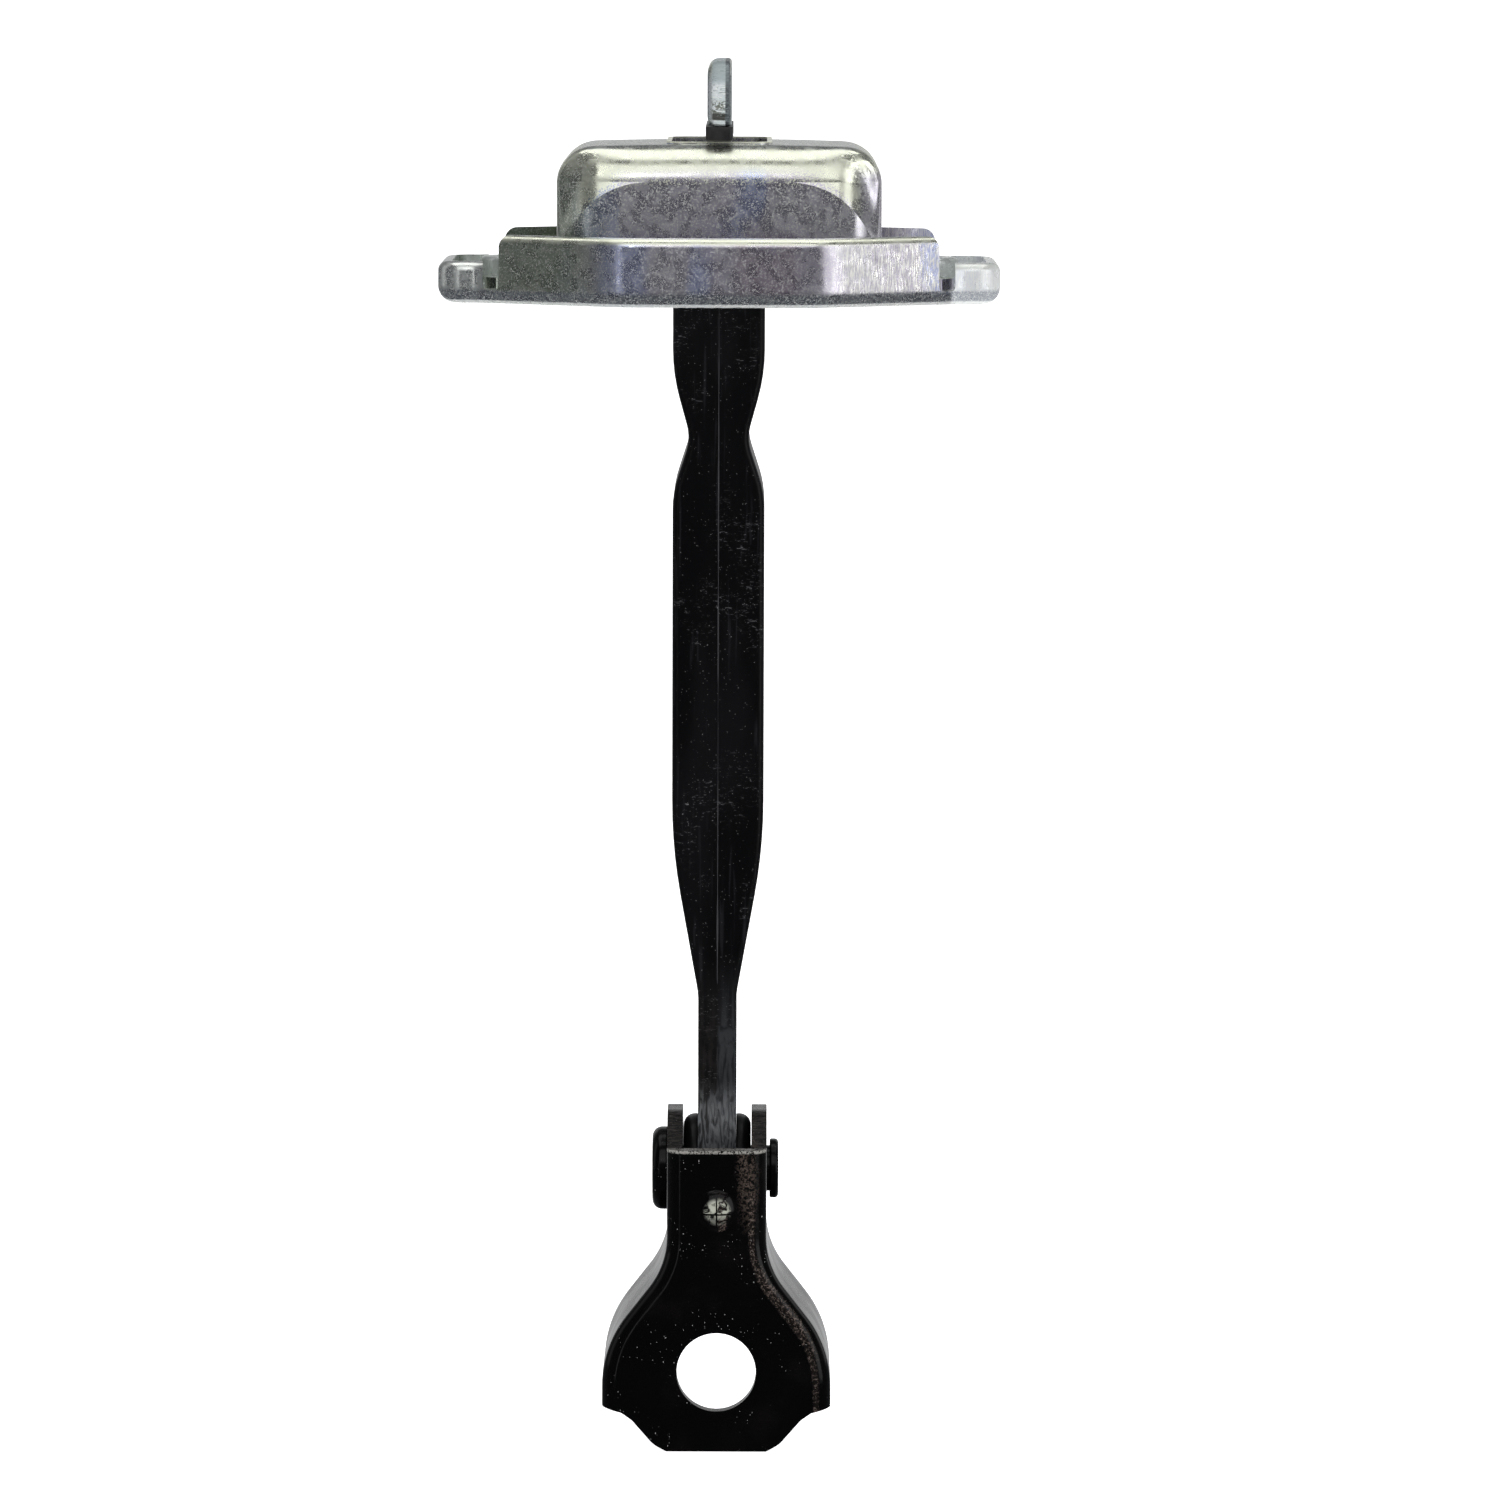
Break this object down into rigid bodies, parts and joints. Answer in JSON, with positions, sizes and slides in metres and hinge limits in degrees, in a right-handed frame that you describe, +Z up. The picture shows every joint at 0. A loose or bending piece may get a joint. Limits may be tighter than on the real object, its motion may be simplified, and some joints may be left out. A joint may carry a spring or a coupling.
{
  "type": "door check",
  "caption": "Vehicle door check: pressed zinc-plated housing with sprung shoes, a resin-covered arm with detents and a riveted U-bracket for the pillar.",
  "frame": {"origin": "midway between the two door bolt holes, on the mounting plate's face that sits on the door", "axes": "+Z up the arm towards its hammer head, X along the pivot rivet, +Y away from the pillar face of the bracket"},
  "size_m": [0.0726, 0.0452, 0.1809],
  "materials": {
    "zinc_plate": "bright zinc plating, faint iridescence",
    "zinc_case": "bright zinc plating, faint iridescence",
    "zinc_core": "zinc plated, sheared edge",
    "nut_steel": "zinc plated, machined",
    "arm_resin": "black moulded resin, satin gloss, light scuffs",
    "buffer_rubber": "black rubber, slightly glossy",
    "spring_rubber": "black rubber, matt",
    "disc_steel": "bare steel, oiled",
    "shoe_plastic": "natural acetal, greased",
    "roller_steel": "ground hardened steel",
    "bush_plastic": "black acetal, satin",
    "black_ecoat": "glossy black electro-coat with small flaws",
    "rivet_black": "black coated rivet, satin"
  },
  "bodies": {
    "housing": {"mounting_plate": "zinc_plate", "housing_case": "zinc_case", "clinch_nut_left": "nut_steel", "clinch_nut_right": "nut_steel"},
    "spring_pack": {"rubber_spring_left": "spring_rubber", "rubber_spring_right": "spring_rubber"},
    "shoe_unit_left": {"shoe_left": "shoe_plastic", "pressure_plate_left": "disc_steel"},
    "shoe_unit_right": {"shoe_right": "shoe_plastic", "pressure_plate_right": "disc_steel"},
    "roller_left": {"shoe_roller_left": "roller_steel"},
    "roller_right": {"shoe_roller_right": "roller_steel"},
    "arm": {"core_plate": "zinc_core", "arm_cover": "arm_resin", "stop_buffer": "buffer_rubber", "bush_left": "bush_plastic", "bush_right": "bush_plastic"},
    "pillar_bracket": {"bracket": "black_ecoat", "pivot_rivet": "rivet_black"}
  },
  "joints": [
    {"name": "arm_swing", "type": "hinge", "parent": "housing", "child": "spring_pack", "pos_m": [0, 0, 0.0106], "axis": [1, 0, 0], "range_deg": [-6, 6]},
    {"name": "shoe_left_travel", "type": "slide", "parent": "spring_pack", "child": "shoe_unit_left", "axis": [1, 0, 0], "range_m": [0, 0.0015], "stiffness_N_per_m": 400, "springref_m": 0.003, "deforming": ["rubber_spring_left"]},
    {"name": "shoe_right_travel", "type": "slide", "parent": "spring_pack", "child": "shoe_unit_right", "axis": [-1, 0, 0], "range_m": [0, 0.0015], "stiffness_N_per_m": 400, "springref_m": 0.003, "deforming": ["rubber_spring_right"]},
    {"name": "roller_left_spin", "type": "hinge", "parent": "shoe_unit_left", "child": "roller_left", "pos_m": [-0.0088, 0, 0.0106], "axis": [0, 1, 0], "continuous": true},
    {"name": "roller_right_spin", "type": "hinge", "parent": "shoe_unit_right", "child": "roller_right", "pos_m": [0.0088, 0, 0.0106], "axis": [0, 1, 0], "continuous": true},
    {"name": "arm_slide", "type": "slide", "parent": "spring_pack", "child": "arm", "axis": [0, 0, 1], "range_m": [0, 0.092], "deforming": ["stop_buffer"]},
    {"name": "bracket_swing", "type": "hinge", "parent": "arm", "child": "pillar_bracket", "pos_m": [0, 0, -0.1143], "axis": [1, 0, 0], "range_deg": [-15, 75]}
  ],
  "couplings": [
    {"joint": "shoe_right_travel", "follows": "shoe_left_travel", "ratio": 1}
  ]
}
